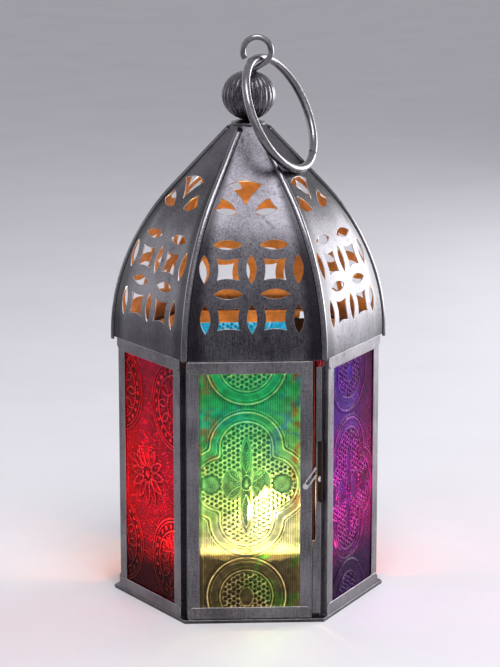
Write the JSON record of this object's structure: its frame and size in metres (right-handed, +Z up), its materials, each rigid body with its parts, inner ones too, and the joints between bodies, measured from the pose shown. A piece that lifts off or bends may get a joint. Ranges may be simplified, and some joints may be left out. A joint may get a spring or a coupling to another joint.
{
  "type": "candle lantern",
  "caption": "Six-sided sheet-metal candle lantern with coloured glass panes, a hinged door with a hook latch, a pierced dome roof, a fluted ball finial and a hanging ring.",
  "frame": {"origin": "centre of the base plate's underside, which is the face that the lantern stands on", "axes": "+Z up along the lantern's axis; the door faces -Y; +X is to the right of someone who faces the door"},
  "size_m": [0.1002, 0.0874, 0.2045],
  "materials": {
    "dark_metal": "dark tarnished sheet metal with fine scratches",
    "frame_metal": "tarnished sheet metal, brighter on its folds",
    "roof_metal": "tarnished sheet metal with bright cut edges",
    "rib_metal": "folded strip, worn bright along its ridge",
    "ball_metal": "fluted sheet metal, dark in the flutes",
    "ring_metal": "smooth drawn wire",
    "bright_metal": "bright drawn wire and turned metal",
    "green_glass": "pressed pattern glass, green",
    "purple_glass": "pressed pattern glass, purple",
    "ruby_glass": "pressed pattern glass, ruby red",
    "turquoise_glass": "pressed pattern glass, turquoise",
    "amber_glass": "pressed pattern glass, amber",
    "red_glass": "pressed pattern glass, red",
    "foil": "thin drawn aluminium",
    "wax": "candle wax",
    "wick": "braided cotton, charred at its tip"
  },
  "bodies": {
    "body": {"base_plate": "dark_metal", "base_rim": "dark_metal", "hinge_wire": "bright_metal", "post_latch": "dark_metal", "post_right": "dark_metal", "post_back_right": "dark_metal", "post_back_left": "dark_metal", "post_left": "dark_metal", "post_hinge": "dark_metal", "stiles_right": "frame_metal", "stiles_back_right": "frame_metal", "stiles_back": "frame_metal", "stiles_back_left": "frame_metal", "stiles_left": "frame_metal", "rails_right": "frame_metal", "rails_back_right": "frame_metal", "rails_back": "frame_metal", "rails_back_left": "frame_metal", "rails_left": "frame_metal", "glass_right": "purple_glass", "glass_back_right": "ruby_glass", "glass_back": "turquoise_glass", "glass_back_left": "amber_glass", "glass_left": "red_glass", "keeper_plate": "dark_metal", "keeper_hook": "bright_metal", "eaves_band": "dark_metal", "roof_panel_front": "roof_metal", "roof_panel_right": "roof_metal", "roof_panel_back_right": "roof_metal", "roof_panel_back": "roof_metal", "roof_panel_back_left": "roof_metal", "roof_panel_left": "roof_metal", "rib_front_right": "rib_metal", "rib_right": "rib_metal", "rib_back_right": "rib_metal", "rib_back_left": "rib_metal", "rib_left": "rib_metal", "rib_front_left": "rib_metal", "apex_cap": "dark_metal", "finial_ball": "ball_metal", "hanging_eye": "bright_metal", "stem_washer": "bright_metal", "candle_holder": "dark_metal"},
    "door": {"door_stile_hinge": "frame_metal", "door_stile_latch": "frame_metal", "door_rail_top": "frame_metal", "door_rail_bottom": "frame_metal", "door_glass": "green_glass", "latch_rivet": "bright_metal"},
    "latch": {"latch_hook": "bright_metal"},
    "ring": {"hanging_ring": "ring_metal"},
    "tealight": {"tealight_cup": "foil", "tealight_wax": "wax", "tealight_wick": "wick", "wick_sustainer": "foil"}
  },
  "joints": [
    {"name": "door_swing", "type": "hinge", "parent": "body", "child": "door", "pos_m": [-0.02285, -0.04155, 0.0483], "axis": [0, 0, -1], "range_deg": [0, 150]},
    {"name": "latch_turn", "type": "hinge", "parent": "door", "child": "latch", "pos_m": [0.01792, -0.04285, 0.0501], "axis": [0, -1, 0], "range_deg": [-14, 100]},
    {"name": "ring_swing", "type": "hinge", "parent": "body", "child": "ring", "pos_m": [0.0036, 0, 0.19618], "axis": [-0.4909, -0.8712, 0], "range_deg": [0, 304]},
    {"name": "tealight_lift", "type": "slide", "parent": "body", "child": "tealight", "axis": [0, 0, 1], "range_m": [0, 0.018]}
  ]
}
